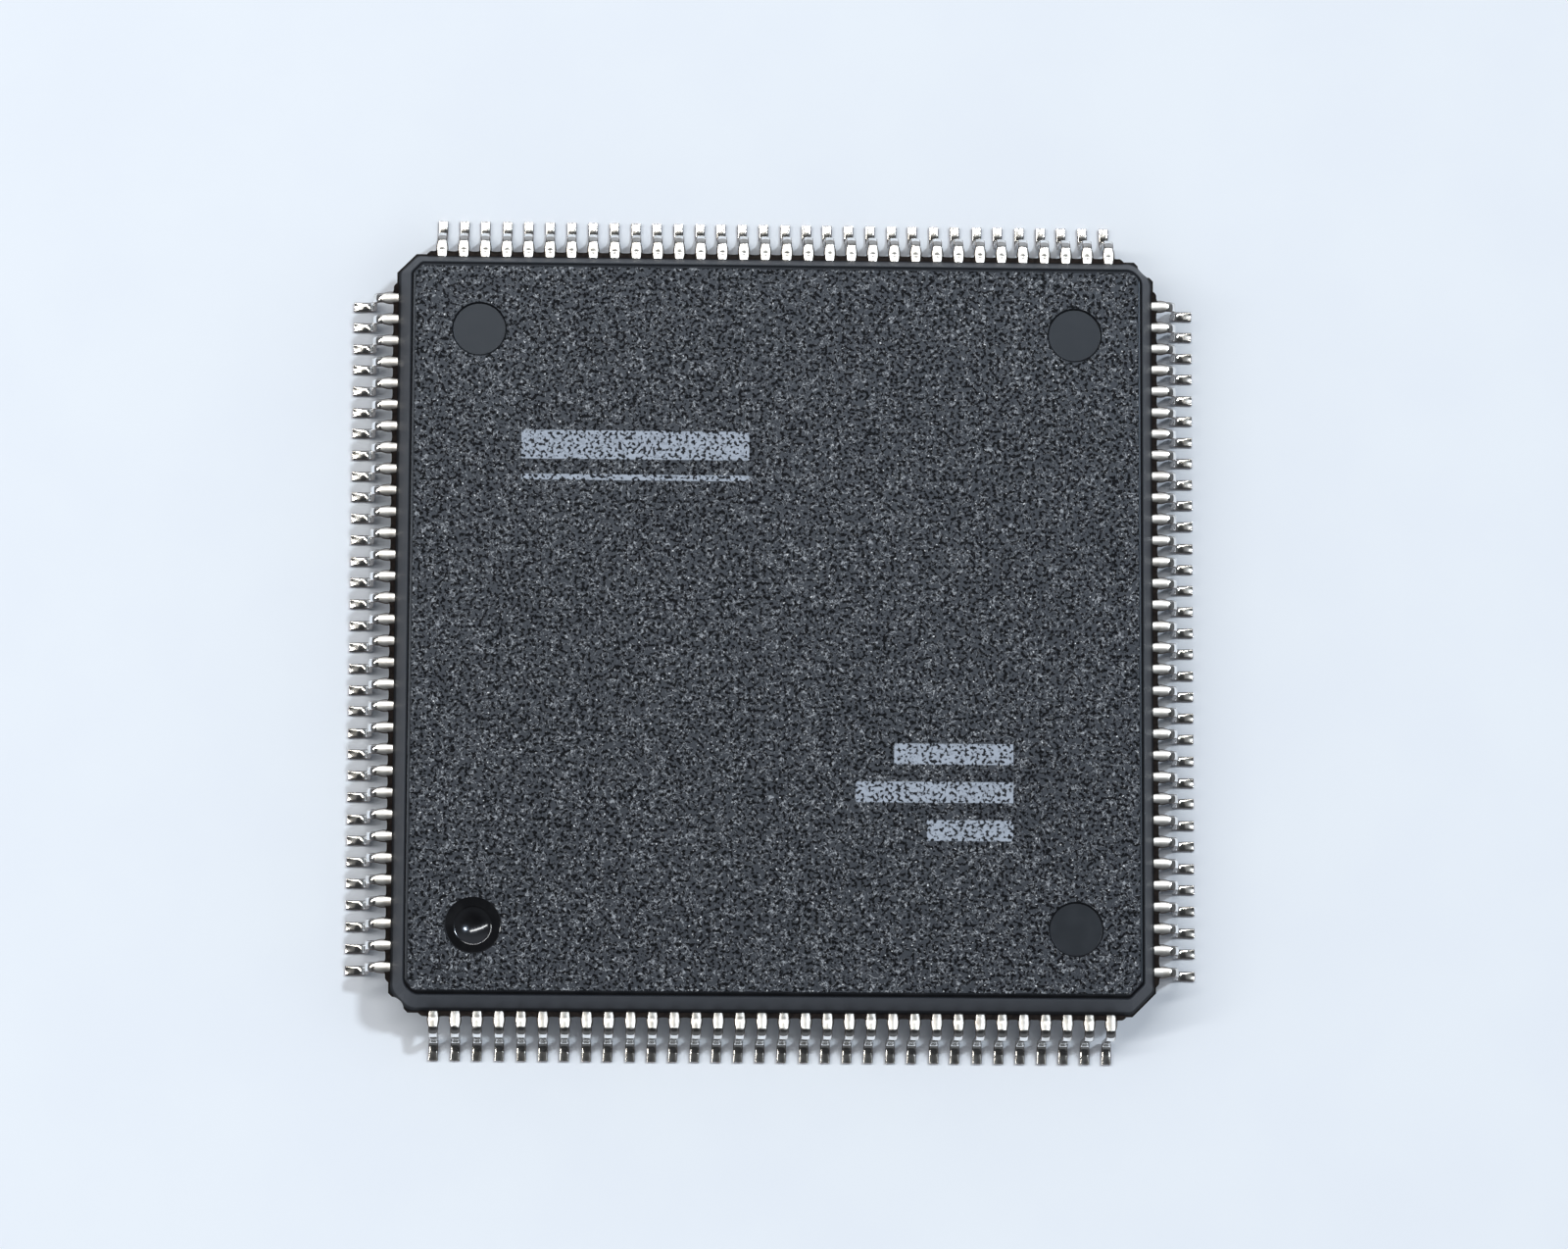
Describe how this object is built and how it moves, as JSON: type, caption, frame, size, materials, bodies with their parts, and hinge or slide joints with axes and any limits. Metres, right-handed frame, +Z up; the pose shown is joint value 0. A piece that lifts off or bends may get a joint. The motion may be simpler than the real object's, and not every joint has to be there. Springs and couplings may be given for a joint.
{
  "type": "quad flat pack integrated circuit",
  "caption": "Square black moulded integrated circuit package with rows of gull-wing solder leads on all four sides.",
  "frame": {"origin": "middle of the seating plane under the solder feet", "axes": "+Z up out of the flat top, +X and +Y along the sides, with the pin one mark in the -X -Y corner"},
  "size_m": [0.0314, 0.0314, 0.0037],
  "materials": {
    "mould_compound": "fine eroded grain on top, smooth walls",
    "tinned_lead": "bright tin plating",
    "bare_copper": "satin stamped strip",
    "silver_glue": "matte, silver filled",
    "silicon": "polished",
    "gold_wire": "drawn bright"
  },
  "bodies": {
    "root": {"moulded_body": "mould_compound", "leads_south": "tinned_lead", "leads_east": "tinned_lead", "leads_north": "tinned_lead", "leads_west": "tinned_lead", "die_paddle": "bare_copper", "die_glue": "silver_glue", "silicon_die": "silicon", "bond_wires_south": "gold_wire", "bond_wires_east": "gold_wire", "bond_wires_north": "gold_wire", "bond_wires_west": "gold_wire"}
  },
  "joints": []
}
